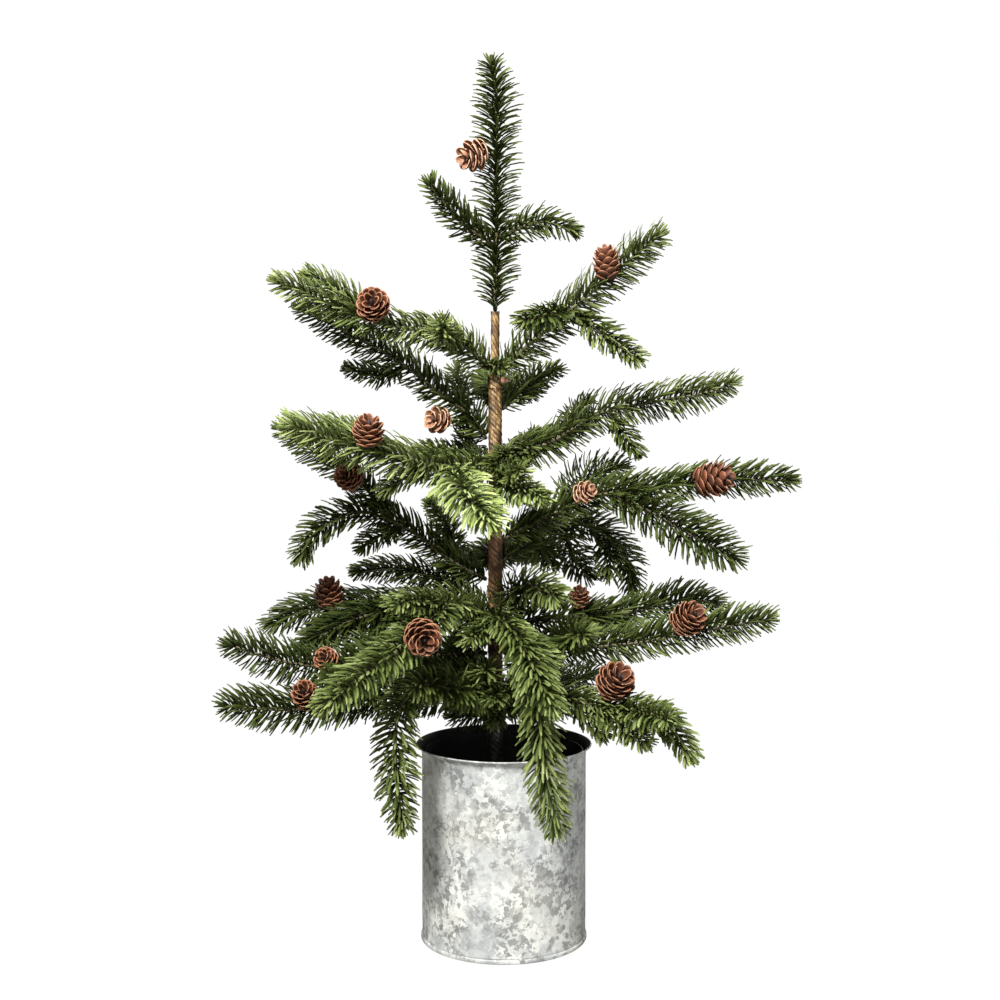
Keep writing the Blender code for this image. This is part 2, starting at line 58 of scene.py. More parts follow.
# Routes of the sprays, as in the CAD: the main one, then (share of it where a twig starts, its route)
BRANCHES = {
    "leader": (
        ((-5, 0, 485), (-5, 0, 540), (-5, 0, 580), (-10, -5, 610)),
        (0.24, ((-31, -10, 497), (-56, -20, 527))),
        (0.27, ((25, -10, 495), (55, -15, 485))),
    ),
    "upper_left": (
        ((-25, -10, 410), (-45, -20, 420), (-80, -35, 425), (-120, -40, 440), (-155, -50, 455)),
        (0.16, ((-40, -40, 418), (-40, -65, 428))),
        (0.52, ((-116, -34, 450), (-138, -34, 461))),
    ),
    "upper_right": (
        ((20, -10, 415), (50, -15, 440), (80, -20, 465), (110, -25, 490)),
        (0.42, ((68, -30, 417), (94, -50, 397))),
        (0.4, ((28, -40, 430), (5, -60, 425))),
    ),
    "upper_back": (
        ((-5, 40, 382), (-10, 85, 388), (-20, 125, 395)),
        (0.4, ((0, 85, 385), (15, 110, 395))),
    ),
    "upper_back_right": (
        ((20, 20, 388), (45, 45, 400)),
        (0.3, ((16, 30, 380), (28, 50, 390))),
    ),
    "upper_mid_left": (
        ((-25, 5, 365), (-45, 5, 380), (-70, 0, 400), (-105, -10, 420), (-145, -15, 440)),
        (0.45, ((-85, 10, 392), (-117, 20, 398))),
        (0.15, ((-30, 25, 378), (-35, 50, 405))),
    ),
    "mid_right": (
        ((30, 0, 345), (65, 5, 365), (110, 10, 375), (140, 5, 380), (165, 5, 390)),
        (0.12, ((0, -20, 334), (-14, -36, 328))),
        (0.28, ((50, 20, 365), (65, 35, 380))),
        (0.44, ((84, 0, 350), (95, -10, 333))),
    ),
    "mid_front_left": (
        ((-35, -30, 330), (-60, -50, 335), (-95, -60, 344), (-119, -70, 352), (-143, -80, 361)),
        (0.2, ((-26, -70, 317), (-4, -110, 295))),
        (0.3, ((-68, -46, 322), (-86, -46, 310))),
        (0.5, ((-106, -44, 355), (-122, -28, 360))),
    ),
    "mid_back_left": (
        ((-35, 30, 335), (-65, 55, 340)),
        (0.3, ((-25, 40, 350), (-28, 60, 368))),
    ),
    "mid_front_right": (
        ((10, -30, 315), (30, -60, 310)),
        (0.35, ((5, -38, 325), (15, -60, 330))),
    ),
    "mid_back_right": (
        ((10, 45, 338), (22, 85, 345), (32, 135, 349)),
        (0.4, ((45, 72, 352), (68, 95, 360))),
    ),
    "low_mid_right": (
        ((30, -5, 295), (65, -10, 310), (105, -10, 315), (145, -5, 320), (205, -5, 320)),
        (0.2, ((60, 15, 320), (90, 30, 330))),
        (0.36, ((100, -25, 299), (130, -40, 282), (160, -50, 267))),
    ),
    "low_mid_back_right": (
        ((30, 20, 285), (66, 40, 284), (88, 52, 262), (97, 62, 230)),
        (0.18, ((28, 42, 270), (38, 60, 252))),
        (0.35, ((50, 52, 262), (66, 65, 242))),
        (0.58, ((76, 34, 258), (70, 32, 244))),
    ),
    "low_mid_left": (
        (
            (-38, 0, 265), (-58, -3, 281), (-84, -8, 295),
            (-104, -12, 298), (-128, -15, 285), (-144, -15, 261),
        ),
        (0.45, ((-100, -10, 320), (-130, -5, 340), (-160, -5, 360))),
        (0.42, ((-88, 10, 280), (-106, 8, 267))),
        (0.12, ((-40, 16, 285), (-58, 20, 311))),
    ),
    "low_mid_front": (
        ((15, -35, 250), (40, -65, 245)),
    ),
    "low_mid_back_left": (
        ((-45, 20, 248), (-80, 35, 255), (-115, 45, 250)),
        (0.2, ((-40, 45, 270), (-45, 60, 290), (-60, 70, 305))),
    ),
    "low_mid_back": (
        ((-5, 45, 265), (10, 90, 265), (28, 150, 252)),
        (0.42, ((-20, 95, 258), (-35, 130, 250))),
    ),
    "low_back_left": (
        ((-50, 20, 230), (-95, 30, 230), (-140, 40, 225), (-175, 45, 210)),
        (0.22, ((-72, 8, 214), (-98, 4, 206))),
        (0.33, ((-110, 5, 220), (-145, -10, 200))),
    ),
    "low_front_left": (
        ((-35, -40, 240), (-55, -80, 225), (-85, -110, 205), (-115, -140, 185)),
        (0.28, ((-60, -75, 245), (-75, -95, 245))),
    ),
    "low_left": (
        ((-50, -15, 200), (-105, -30, 195), (-145, -40, 200), (-190, -45, 215)),
        (0.3, ((-72, -44, 206), (-92, -60, 212))),
    ),
    "low_far_left": (
        ((-50, -20, 175), (-95, -40, 175), (-140, -50, 170), (-190, -60, 175)),
        (0.4, ((-100, -62, 188), (-120, -78, 198))),
    ),
    "droop_left": (
        ((-45, -45, 190), (-65, -70, 180), (-70, -80, 150), (-65, -80, 90)),
    ),
    "front": (
        ((-5, -40, 230), (10, -80, 220), (25, -120, 195), (35, -135, 180)),
        (0.22, ((-16, -56, 222), (-28, -74, 218))),
        (0.3, ((22, -62, 212), (38, -76, 202))),
        (0.45, ((20, -100, 185), (25, -105, 145), (35, -100, 95))),
    ),
    "low_right": (
        ((40, -15, 205), (85, -25, 210), (130, -35, 220), (185, -40, 230)),
        (0.12, ((15, -32, 196), (18, -55, 190))),
        (0.2, ((45, -45, 218), (58, -70, 224))),
    ),
    "low_back_right": (
        ((40, 20, 222), (85, 35, 222), (130, 45, 231), (163, 50, 226)),
        (0.3, ((70, 60, 215), (100, 80, 205))),
    ),
    "droop_right": (
        ((40, -35, 173), (75, -60, 173), (104, -76, 167), (123, -90, 141)),
        (0.12, ((-3, -38, 178), (-8, -60, 176))),
        (0.33, ((60, -50, 159), (70, -55, 146))),
        (0.42, ((86, -76, 157), (95, -86, 148))),
        (0.55, ((94, -88, 174), (106, -115, 176))),
    ),
    "low_front": (
        ((-25, -40, 180), (-50, -70, 190), (-65, -90, 190)),
        (0.22, ((-12, -42, 193), (-16, -60, 199))),
    ),
    "low_back": (
        ((5, 45, 162), (20, 90, 155), (40, 160, 160)),
        (0.22, ((-18, 52, 156), (-42, 64, 150))),
        (0.35, ((-10, 85, 152), (-25, 125, 155))),
        (0.45, ((50, 105, 158), (75, 130, 165))),
    ),
    "low_back_far_left": (
        ((-30, 40, 182), (-55, 80, 178), (-90, 130, 185)),
        (0.25, ((-48, 52, 168), (-68, 60, 162))),
        (0.4, ((-35, 80, 188), (-35, 105, 198))),
    ),
}

# Cones, as in the CAD: the way the tip points, length and width
CONES = {
    "cone_leader": ((-0.8, -0.5, -0.3), 24, 23),
    "cone_upper_right": ((-0.1, -0.1, 1), 26, 19),
    "cone_upper_left": ((-0.1, -0.9, 0.3), 22, 23),
    "cone_upper_mid_left": ((-0.6, -0.8, 0.1), 20, 20),
    "cone_mid_front_left": ((0.1, -0.4, 0.9), 23, 22),
    "cone_mid_right": ((0.9, -0.4, 0.2), 29, 25),
    "cone_mid_back": ((0.6, -0.7, 0.3), 18, 16),
    "cone_mid_left": ((-0.3, -0.9, 0.2), 22, 20),
    "cone_low_back_left": ((-0.1, -0.2, 1), 25, 22),
    "cone_low_back_right": ((0.1, -0.4, 0.9), 18, 16),
    "cone_low_right": ((0.4, -0.6, 0.5), 26, 24),
    "cone_low_front_left": ((0.2, -1, -0.1), 26, 24),
    "cone_low_left": ((-0.2, -0.8, 0.4), 18, 17),
    "cone_low_far_left": ((-0.1, -0.8, 0.6), 26, 19),
    "cone_droop_right": ((0.3, -0.7, 0.6), 27, 26),
}


# ---- Studio


CAMERA_PLACE = (-0.0027, -1.034, 0.367)
CAMERA_TILT = 3.37  # degrees down
CAMERA_LENS = 54  # mm, on a 36 mm sensor
BACKDROP_STRENGTH = 1.05
FILL_STRENGTH = 0.06
FLOOR_GLOW = 1.04
FLOOR_GLOW_SHARE = 0.96
FLOOR_SIZE = 6.0
FLOOR_GAP = 0.5 * MM


def add_object(name, data):
    item = bpy.data.objects.new(name, data)
    bpy.context.scene.collection.objects.link(item)
    return item


def look_at(item, target):
    item.rotation_euler = (Vector(target) - item.location).to_track_quat("-Z", "Y").to_euler()


def add_camera():
    camera = add_object("camera", bpy.data.cameras.new("camera"))
    camera.location = CAMERA_PLACE
    camera.rotation_euler = (math.radians(90 - CAMERA_TILT), 0, 0)
    camera.data.lens = CAMERA_LENS
    camera.data.clip_start = 0.05
    bpy.context.scene.camera = camera


def add_area_light(name, location, target, size, power, colour=(1, 1, 1)):
    light = bpy.data.lights.new(name, "AREA")
    light.size = size
    light.energy = power
    light.color = colour
    item = add_object(name, light)
    item.location = location
    look_at(item, target)
    return light


def add_world():
    """White behind the object, dimmer as a light, as in a studio with a lit backdrop."""
    world = bpy.data.worlds.new("studio")
    bpy.context.scene.world = world
    world.use_nodes = True
    nodes = world.node_tree.nodes
    links = world.node_tree.links
    nodes.clear()
    path = nodes.new("ShaderNodeLightPath")
    mix = nodes.new("ShaderNodeMixShader")
    output = nodes.new("ShaderNodeOutputWorld")
    links.new(path.outputs["Is Camera Ray"], mix.inputs["Fac"])
    fill, seen = ((1.0, 0.98, 0.84, 1), FILL_STRENGTH), ((1, 1, 1, 1), BACKDROP_STRENGTH)
    for socket, (colour, strength) in zip((1, 2), (fill, seen)):
        glow = nodes.new("ShaderNodeBackground")
        glow.inputs["Color"].default_value = colour
        glow.inputs["Strength"].default_value = strength
        links.new(glow.outputs["Background"], mix.inputs[socket])
    links.new(mix.outputs["Shader"], output.inputs["Surface"])


def floor_material():
    """Burnt out to white where it is seen, as in the studio, and grey in the light it throws back up."""
    shader = Shader("floor", 0.9)
    shader.colour((0.24, 0.24, 0.23))
    glow = shader.node("ShaderNodeEmission")
    glow.inputs["Strength"].default_value = FLOOR_GLOW
    path = shader.node("ShaderNodeLightPath")
    mix = shader.node("ShaderNodeMixShader")
    output = shader.tree.nodes["Material Output"]
    share = shader.math("MULTIPLY", path.outputs["Is Camera Ray"], FLOOR_GLOW_SHARE)
    shader.plug(share, mix.inputs["Fac"])
    shader.tree.links.new(shader.main.outputs["BSDF"], mix.inputs[1])
    shader.tree.links.new(glow.outputs["Emission"], mix.inputs[2])
    shader.tree.links.new(mix.outputs["Shader"], output.inputs["Surface"])
    return shader.material


def add_floor():
    corners = [(x * FLOOR_SIZE, y * FLOOR_SIZE, 0) for x, y in ((-1, -1), (1, -1), (1, 1), (-1, 1))]
    mesh = bpy.data.meshes.new("floor")
    mesh.from_pydata(corners, [], [(0, 1, 2, 3)])
    floor = add_object("floor", mesh)
    floor.location.z = -FLOOR_GAP
    mesh.materials.append(floor_material())


def add_studio():
    add_camera()
    add_world()
    add_floor()
    add_area_light("key", (-0.46, -1.24, 1.45), (0, 0, 0.3), 0.36, 96, (1.0, 0.98, 0.91))
    add_area_light("front", (0.25, -1.6, 0.55), (0, 0, 0.25), 0.9, 5)
    side = add_area_light("side", (0.80, -0.75, 0.10), (0, 0, 0.06), 0.3, 0.35)
    side.spread = math.radians(50)
    add_area_light("back", (0.55, 1.45, 0.95), (0, 0, 0.25), 0.8, 13, (1.0, 0.97, 0.88))
    add_area_light("top", (0.15, -0.05, 1.7), (0, 0, 0.3), 0.5, 16, (1.0, 0.99, 0.95))
    bpy.context.scene.view_settings.view_transform = "Standard"


# ---- Material building blocks


class Shader:
    """A Principled material built node by node."""

    def __init__(self, name, roughness=0.5, metallic=0.0):
        self.material = bpy.data.materials.new(name)
        self.material.use_nodes = True
        self.tree = self.material.node_tree
        self.main = self.tree.nodes["Principled BSDF"]
        self.main.inputs["Roughness"].default_value = roughness
        self.main.inputs["Metallic"].default_value = metallic
        self.place = self.tree.nodes.new("ShaderNodeTexCoord").outputs["Object"]

    def node(self, kind, **values):
        made = self.tree.nodes.new(kind)
        for key, value in values.items():
            setattr(made, key, value)
        return made

    def plug(self, source, socket):
        if isinstance(source, (int, float)):
            socket.default_value = source
        elif isinstance(source, tuple):
            socket.default_value = (*source, 1.0)
        else:
            self.tree.links.new(source, socket)

    def noise(self, scale, detail=3.0, roughness=0.5, place=None):
        made = self.node("ShaderNodeTexNoise")
        made.inputs["Scale"].default_value = scale
        made.inputs["Detail"].default_value = detail
        made.inputs["Roughness"].default_value = roughness
        self.plug(place or self.place, made.inputs["Vector"])
        return made.outputs["Fac"]

    def cell_tints(self, scale, place):
        """One random tint for each cell of a broken-up pattern."""
        made = self.node("ShaderNodeTexVoronoi")
        made.inputs["Scale"].default_value = scale
        self.plug(place, made.inputs["Vector"])
        return made.outputs["Color"]

    def attribute(self, name):
        return self.node("ShaderNodeAttribute", attribute_name=name).outputs["Fac"]

    def stretch(self, value, low, high, new_low=0.0, new_high=1.0):
        made = self.node("ShaderNodeMapRange")
        self.plug(value, made.inputs["Value"])
        sockets = ("From Min", "From Max", "To Min", "To Max")
        for socket, number in zip(sockets, (low, high, new_low, new_high)):
            made.inputs[socket].default_value = number
        return made.outputs["Result"]

    def math(self, operation, a, b=0.0):
        made = self.node("ShaderNodeMath", operation=operation)
        self.plug(a, made.inputs[0])
        self.plug(b, made.inputs[1])
        return made.outputs["Value"]

    def blend(self, a, share_a, b, share_b):
        """Two values added in the given shares."""
        return self.math("ADD", self.math("MULTIPLY", a, share_a), self.math("MULTIPLY", b, share_b))

    def mix(self, share, a, b):
        made = self.node("ShaderNodeMix", data_type="RGBA")
        self.plug(share, made.inputs["Factor"])
        self.plug(a, made.inputs["A"])
        self.plug(b, made.inputs["B"])
        return next(out for out in made.outputs if out.type == "RGBA")

    def mapped(self, scale, rotation):
        made = self.node("ShaderNodeMapping")
        made.inputs["Scale"].default_value = scale
        made.inputs["Rotation"].default_value = rotation
        self.plug(self.place, made.inputs["Vector"])
        return made.outputs["Vector"]

    def warp(self, scale, amount):
        """Object position pushed about by noise, so that round cells come out ragged."""
        made = self.node("ShaderNodeTexNoise")
        made.inputs["Scale"].default_value = scale
        self.plug(self.place, made.inputs["Vector"])
        centred = self.node("ShaderNodeVectorMath", operation="SUBTRACT")
        self.plug(made.outputs["Color"], centred.inputs[0])
        centred.inputs[1].default_value = (0.5, 0.5, 0.5)
        scaled = self.node("ShaderNodeVectorMath", operation="SCALE")
        self.plug(centred.outputs["Vector"], scaled.inputs[0])
        scaled.inputs["Scale"].default_value = amount
        moved = self.node("ShaderNodeVectorMath", operation="ADD")
        self.plug(self.place, moved.inputs[0])
        self.plug(scaled.outputs["Vector"], moved.inputs[1])
        return moved.outputs["Vector"]

    def colour(self, source):
        self.plug(source, self.main.inputs["Base Color"])

    def rough(self, source):
        self.plug(source, self.main.inputs["Roughness"])

    def bump(self, height, strength, distance):
        made = self.node("ShaderNodeBump")
        made.inputs["Strength"].default_value = strength
        made.inputs["Distance"].default_value = distance
        self.plug(height, made.inputs["Height"])
        self.plug(made.outputs["Normal"], self.main.inputs["Normal"])


# ---- Materials


def spread(shader, tint, *colours):
    """A colour that runs through several as the tint goes from 0 to 1."""
    ramp = shader.node("ShaderNodeValToRGB")
    stops = ramp.color_ramp.elements
    while len(stops) < len(colours):
        stops.new(0.5)
    for index, (stop, colour) in enumerate(zip(stops, colours)):
        stop.position = index / (len(colours) - 1)
        stop.color = (*colour, 1.0)
    shader.plug(tint, ramp.inputs["Fac"])
    return ramp.outputs["Color"]


# Dark, middle and light
OLD_GREENS = ((0.006, 0.009, 0.001), (0.027, 0.041, 0.004), (0.122, 0.157, 0.035))
YOUNG_GREENS = ((0.112, 0.157, 0.032), (0.312, 0.390, 0.127), (0.615, 0.705, 0.345))


def needle_material():
    """Moulded green plastic, paler and yellower towards each needle's end. Painted shade darkens each needle at
    the twig and along the blade's two sides, leaving a paler midrib.
    """
    shader = Shader("needles", 0.5)
    shader.main.inputs["Specular IOR Level"].default_value = 0.14
    tint = shader.attribute("tint")
    along = shader.attribute("along")
    young = shader.attribute("young")
    patches = shader.stretch(shader.noise(45, 3), 0.3, 0.7)
    mixed = shader.blend(tint, 0.72, patches, 0.28)
    old_colour = spread(shader, mixed, *OLD_GREENS)
    young_colour = spread(shader, mixed, *YOUNG_GREENS)
    share = shader.math("ADD", young, shader.math("MULTIPLY", shader.math("POWER", along, 2.0), 0.22))
    colour = shader.mix(shader.stretch(share, 0.0, 1.0), old_colour, young_colour)
    # Painted shade at each needle's root, where the needles crowd round the twig
    root = shader.stretch(along, 0.0, 0.6, 0.85, 0.0)
    colour = shader.mix(root, colour, (0.008, 0.010, 0.002))
    # A paler midrib, with painted shade along each blade's two sides, the corners that edge marks
    side = shader.stretch(shader.attribute("edge"), 0.0, 1.0, 0.0, 0.45)
    colour = shader.mix(side, colour, (0.020, 0.032, 0.005))
    mottle = shader.stretch(shader.noise(900, 2), 0.3, 0.75, 0.0, 0.3)
    shader.colour(shader.mix(mottle, colour, (0.016, 0.024, 0.006)))
    shader.rough(shader.stretch(shader.noise(420, 2), 0.3, 0.7, 0.42, 0.6))
    shader.bump(shader.noise(1500, 2), 0.25, 0.0003)
    return shader.material


def bark_material():
    """The moulded twig, green turning to brown where it is old."""
    shader = Shader("twig_bark", 0.6)
    young = shader.attribute("young")
    grain = shader.stretch(shader.noise(600, 3), 0.3, 0.7)
    old = spread(shader, grain, (0.030, 0.026, 0.010), (0.085, 0.070, 0.025))
    fresh = spread(shader, grain, (0.060, 0.090, 0.022), (0.150, 0.200, 0.060))
    shader.colour(shader.mix(shader.stretch(young, 0.0, 0.6), old, fresh))
    shader.bump(shader.noise(1300, 3), 0.5, 0.0004)
    return shader.material


def tape_material(name, dark, middle, light):
    """Crinkled floral tape, with painted shade along each overlap."""
    shader = Shader(name, 0.5)
    edge = shader.attribute("edge")
    streaks = shader.noise(1.0, 4, 0.65, shader.mapped((900, 900, 160), (0.5, 0.35, 0)))
    blotches = shader.stretch(shader.noise(160, 3), 0.3, 0.7)
    value = shader.blend(streaks, 0.7, blotches, 0.4)
    colour = spread(shader, shader.stretch(value, 0.36, 0.78), dark, middle, light)
    # Painted shade in the step where one lap of tape overlaps the next
    painted_crevice_shade = shader.stretch(edge, 0.3, 0.9, 0.0, 0.9)
    shader.colour(shader.mix(painted_crevice_shade, colour, tuple(0.35 * c for c in dark)))
    shader.rough(shader.stretch(streaks, 0.3, 0.7, 0.38, 0.62))
    shader.bump(streaks, 0.6, 0.0006)
    return shader.material


def cone_material(name, dark, middle, rim, shade):
    """Dry cone scales, with painted shade on the inner part of each scale and a thin, patchy painted highlight
    along its rim.
    """
    shader = Shader(name, 0.6)
    edge = shader.attribute("edge")
    tint = shader.attribute("tint")
    grain = shader.stretch(shader.noise(700, 4), 0.3, 0.7)
    value = shader.blend(tint, 0.6, grain, 0.4)
    body = spread(shader, value, dark, middle)
    # Painted shade on the inner part of each scale, towards the core where the scales overlap
    painted_inner_shade = shader.stretch(edge, *shade, 0.9, 0.0)
    body = shader.mix(painted_inner_shade, body, tuple(0.25 * c for c in dark))
    patchy = shader.stretch(grain, 0.0, 1.0, 0.3, 0.9)
    # Painted highlight along each scale's rim, broken up by the grain
    painted_rim_highlight = shader.math("MULTIPLY", shader.stretch(edge, 0.95, 1.0), patchy)
    shader.colour(shader.mix(painted_rim_highlight, body, rim))
    shader.rough(shader.stretch(grain, 0.0, 1.0, 0.5, 0.72))
    shader.bump(shader.noise(1400, 3), 0.5, 0.0004)
    return shader.material


def galvanised_material():
    """Weathered zinc: pale grey bloom over small crisp flakes, the dark ones in clusters."""
    shader = Shader("galvanised_zinc", 0.55, 0.08)
    ragged = shader.warp(330, 0.0065)
    clouds = shader.stretch(shader.noise(30, 4, 0.6), 0.36, 0.64)
    mottle = shader.noise(300, 4, 0.65)
    value = shader.stretch(shader.blend(clouds, 0.55, mottle, 0.45), 0.2, 0.8)
    colour = spread(shader, value, (0.270, 0.287, 0.304), (0.335, 0.349, 0.360), (0.415, 0.424, 0.426))
    dark_areas = shader.stretch(shader.noise(42, 3), 0.44, 0.56, 0.25, 1.0)
    pale_areas = shader.stretch(shader.noise(36, 3, place=ragged), 0.42, 0.58, 0.2, 1.0)
    for scale, dark_share, pale_share in ((130, 0.48, 0.34), (230, 0.78, 0.44), (420, 0.76, 0.42)):
        flake = shader.cell_tints(scale, ragged)
        pale = shader.math("MULTIPLY", shader.stretch(flake, 0.62, 0.66), pale_areas)
        colour = shader.mix(shader.math("MULTIPLY", pale, pale_share), colour, (0.56, 0.57, 0.56))
        dark = shader.math("MULTIPLY", shader.stretch(flake, 0.30, 0.34, 1.0, 0.0), dark_areas)
        colour = shader.mix(shader.math("MULTIPLY", dark, dark_share), colour, (0.120, 0.125, 0.128))
    warm = shader.stretch(shader.noise(22, 2), 0.5, 0.7)
    shader.colour(shader.mix(shader.math("MULTIPLY", warm, 0.16), colour, (0.42, 0.39, 0.31)))
    shader.rough(shader.stretch(mottle, 0.3, 0.7, 0.45, 0.68))
    shader.bump(mottle, 0.10, 0.0008)
    return shader.material


def plain_material(name, dark, light, scale, roughness, metallic=0.0):
    shader = Shader(name, roughness, metallic)
    grain = shader.stretch(shader.noise(scale, 4), 0.3, 0.7)
    shader.colour(spread(shader, grain, dark, light))
    shader.rough(shader.stretch(grain, 0.0, 1.0, roughness * 0.85, min(1.0, roughness * 1.15)))
    shader.bump(shader.noise(scale * 3, 3), 0.3, 0.0006)
    return shader.material


# ---- Mesh building


ATTRIBUTES = ("tint", "along", "young", "edge")


class Pieces:
    """Collects blocks of quads, then makes one mesh of them."""

    def __init__(self):
        self.points = []
        self.quads = []
        self.slots = []
        self.values = {}
        self.count = 0

    def add(self, points, quads, slot=0, **values):
        points = np.asarray(points).reshape(-1, 3)
        self.points.append(points)
        self.quads.append(np.asarray(quads) + self.count)
        self.slots.append(np.full(len(quads), slot))
        for key in ATTRIBUTES:
            self.values.setdefault(key, []).append(np.broadcast_to(values.get(key, 0.0), len(points)))
        self.count += len(points)

    def finish(self, name, materials, sharp=None):
        points = np.concatenate(self.points)
        quads = np.concatenate(self.quads)
        mesh = bpy.data.meshes.new(name)
        mesh.vertices.add(len(points))
        mesh.vertices.foreach_set("co", points.astype(np.float32).ravel())
        mesh.loops.add(quads.size)
        mesh.loops.foreach_set("vertex_index", quads.astype(np.int32).ravel())
        mesh.polygons.add(len(quads))
        mesh.polygons.foreach_set("loop_start", np.arange(0, quads.size, 4, dtype=np.int32))
        mesh.polygons.foreach_set("material_index", np.concatenate(self.slots).astype(np.int32))
        mesh.update(calc_edges=True)
        mesh.shade_smooth()
        if sharp is not None:
            mesh.set_sharp_from_angle(angle=math.radians(sharp))
        for key in ATTRIBUTES:
            attribute = mesh.attributes.new(key, "FLOAT", "POINT")
            attribute.data.foreach_set("value", np.concatenate(self.values[key]).astype(np.float32))
        for material in materials:
            mesh.materials.append(material)
        return add_object(name, mesh)


def grid_quads(rows, columns, wrap=True):
    """Quads of a grid of points given row by row, each row closed into a ring if wrap."""
    across = columns if wrap else columns - 1
    row, column = np.meshgrid(np.arange(rows - 1), np.arange(across), indexing="ij")
    after = (column + 1) % columns
    here, above = row * columns, (row + 1) * columns
    return np.stack([here + column, here + after, above + after, above + column], -1).reshape(-1, 4)


def plate(front, back):
    """Points and quads of a two-sided plate, from the grids of its front and back."""
    rows, columns = front.shape[:2]
    size = rows * columns
    faces = grid_quads(rows, columns, False)
    grid = np.arange(size).reshape(rows, columns)
    border = np.concatenate([grid[0], grid[1:, -1], grid[-1, -2::-1], grid[-2:0:-1, 0]])
    following = np.roll(border, -1)
    rim = np.stack([following, border, border + size, following + size], -1)
    quads = np.concatenate([faces, faces[:, ::-1] + size, rim])
    return np.concatenate([front.reshape(-1, 3), back.reshape(-1, 3)]), quads


def unit(vectors):
    return vectors / np.maximum(np.linalg.norm(vectors, axis=-1, keepdims=True), 1e-12)


def cap_quads(start, flip):
    """Three quads that close a ring of eight points."""
    quads = np.array([(0, 1, 2, 3), (0, 3, 4, 7), (4, 5, 6, 7)]) + start
    return quads[:, ::-1] if flip else quads


# ---- Routes


ROUTE_STEP = 1.5 * MM
HINGES = {joint["child"].removeprefix("bough_"): Vector(joint["pos_m"]) for joint in frame["joints"]}


def smooth_route(points):
    """Evenly spaced points along a smooth curve through the given ones, as in the CAD but finer."""
    points = [Vector(point) for point in points]
    padded = [points[0] * 2 - points[1], *points, points[-1] * 2 - points[-2]]
    dense = [points[0]]
    for before, start, end, after in zip(padded, padded[1:], padded[2:], padded[3:]):
        start_handle = start + (end - before) / 6
        end_handle = end - (after - start) / 6
        dense += interpolate_bezier(start, start_handle, end_handle, end, 25)[1:]
    dense = np.array(dense)
    distances = np.concatenate([[0], np.cumsum(np.linalg.norm(np.diff(dense, axis=0), axis=1))])
    even = np.linspace(0, distances[-1], max(4, round(distances[-1] / ROUTE_STEP)))
    return np.stack([np.interp(even, distances, dense[:, axis]) for axis in range(3)], -1)


def route_length(route):
    return float(np.linalg.norm(np.diff(route, axis=0), axis=1).sum())


def route_at(route, distances):
    """Points and directions at the given distances along an evenly spaced route."""
    length = route_length(route)
    own = np.linspace(0, length, len(route))
    ways = unit(np.gradient(route, axis=0))
    points = np.stack([np.interp(distances, own, route[:, axis]) for axis in range(3)], -1)
    tangents = np.stack([np.interp(distances, own, ways[:, axis]) for axis in range(3)], -1)
    return points, unit(tangents)


def share_point(route, share):
    point, _ = route_at(route, np.array([share * route_length(route)]))
    return point[0]


def metres(points):
    return [Vector(point) * MM for point in points]


def spray_routes(name):
    """The branch's main route from its hinge, then the route of each twig."""
    points, *twigs = BRANCHES[name]
    main = smooth_route([HINGES[name], *metres(points)])
    return [main, *(smooth_route([share_point(main, share), *metres(way)]) for share, way in twigs)]


# ---- Needles


# Angle from the top of the spray in degrees, share of full length, and the angles to the twig at the
# needle's root and end
HALF_RANKS = (
    (30, 1.02, 66, 35),
    (60, 1.02, 72, 38),
    (90, 1.02, 76, 43),
    (120, 0.92, 74, 43),
    (152, 0.80, 70, 43),
)
RANKS = [(0, 0.98, 64, 34), *((side * turn, *rest) for turn, *rest in HALF_RANKS for side in (-1, 1))]
UPRIGHT_LEANS = (46, 84)  # on a spray that stands up, the ends bend outwards
NEEDLE_LENGTH = 18 * MM
NEEDLE_WIDTH = 1.8 * MM
NEEDLE_THICKNESS = 1.0 * MM
NEEDLE_PITCH = 3.9 * MM
NEEDLE_STATIONS = np.array([0.0, 0.24, 0.52, 0.82, 1.0])
NEEDLE_WIDTHS = np.array([0.6, 0.95, 1.0, 0.94, 0.5])
NEEDLE_SIDES = 4
NEEDLES_MISSING = 0.03  # share of them
YOUNG_REACH = 28 * MM  # of the new growth, back from a spray's tip
TUFT_REACH = 10.0 * MM
TUFT_COUNT = 10
TUFT_TURN = 2.4  # radians from one needle to the next
TUBE_SIDES = 8


def uprightness(slopes):
    """From 0 on a level spray to 1 on one that stands up, given the height part of its direction."""
    return np.clip((slopes - 0.75) / 0.2, 0, 1)


def side_vectors(tangents):
    """Two directions square to each tangent; the first is up, or for an upright spray to the front."""
    up = np.broadcast_to(np.array([0.0, 0.0, 1.0]), tangents.shape)
    upright = uprightness(np.abs(tangents[:, 2:3]))
    wanted = up * (1 - upright) + np.array([0.0, -1.0, 0.0]) * upright
    first = unit(wanted - (wanted * tangents).sum(-1, keepdims=True) * tangents)
    return first, np.cross(tangents, first)


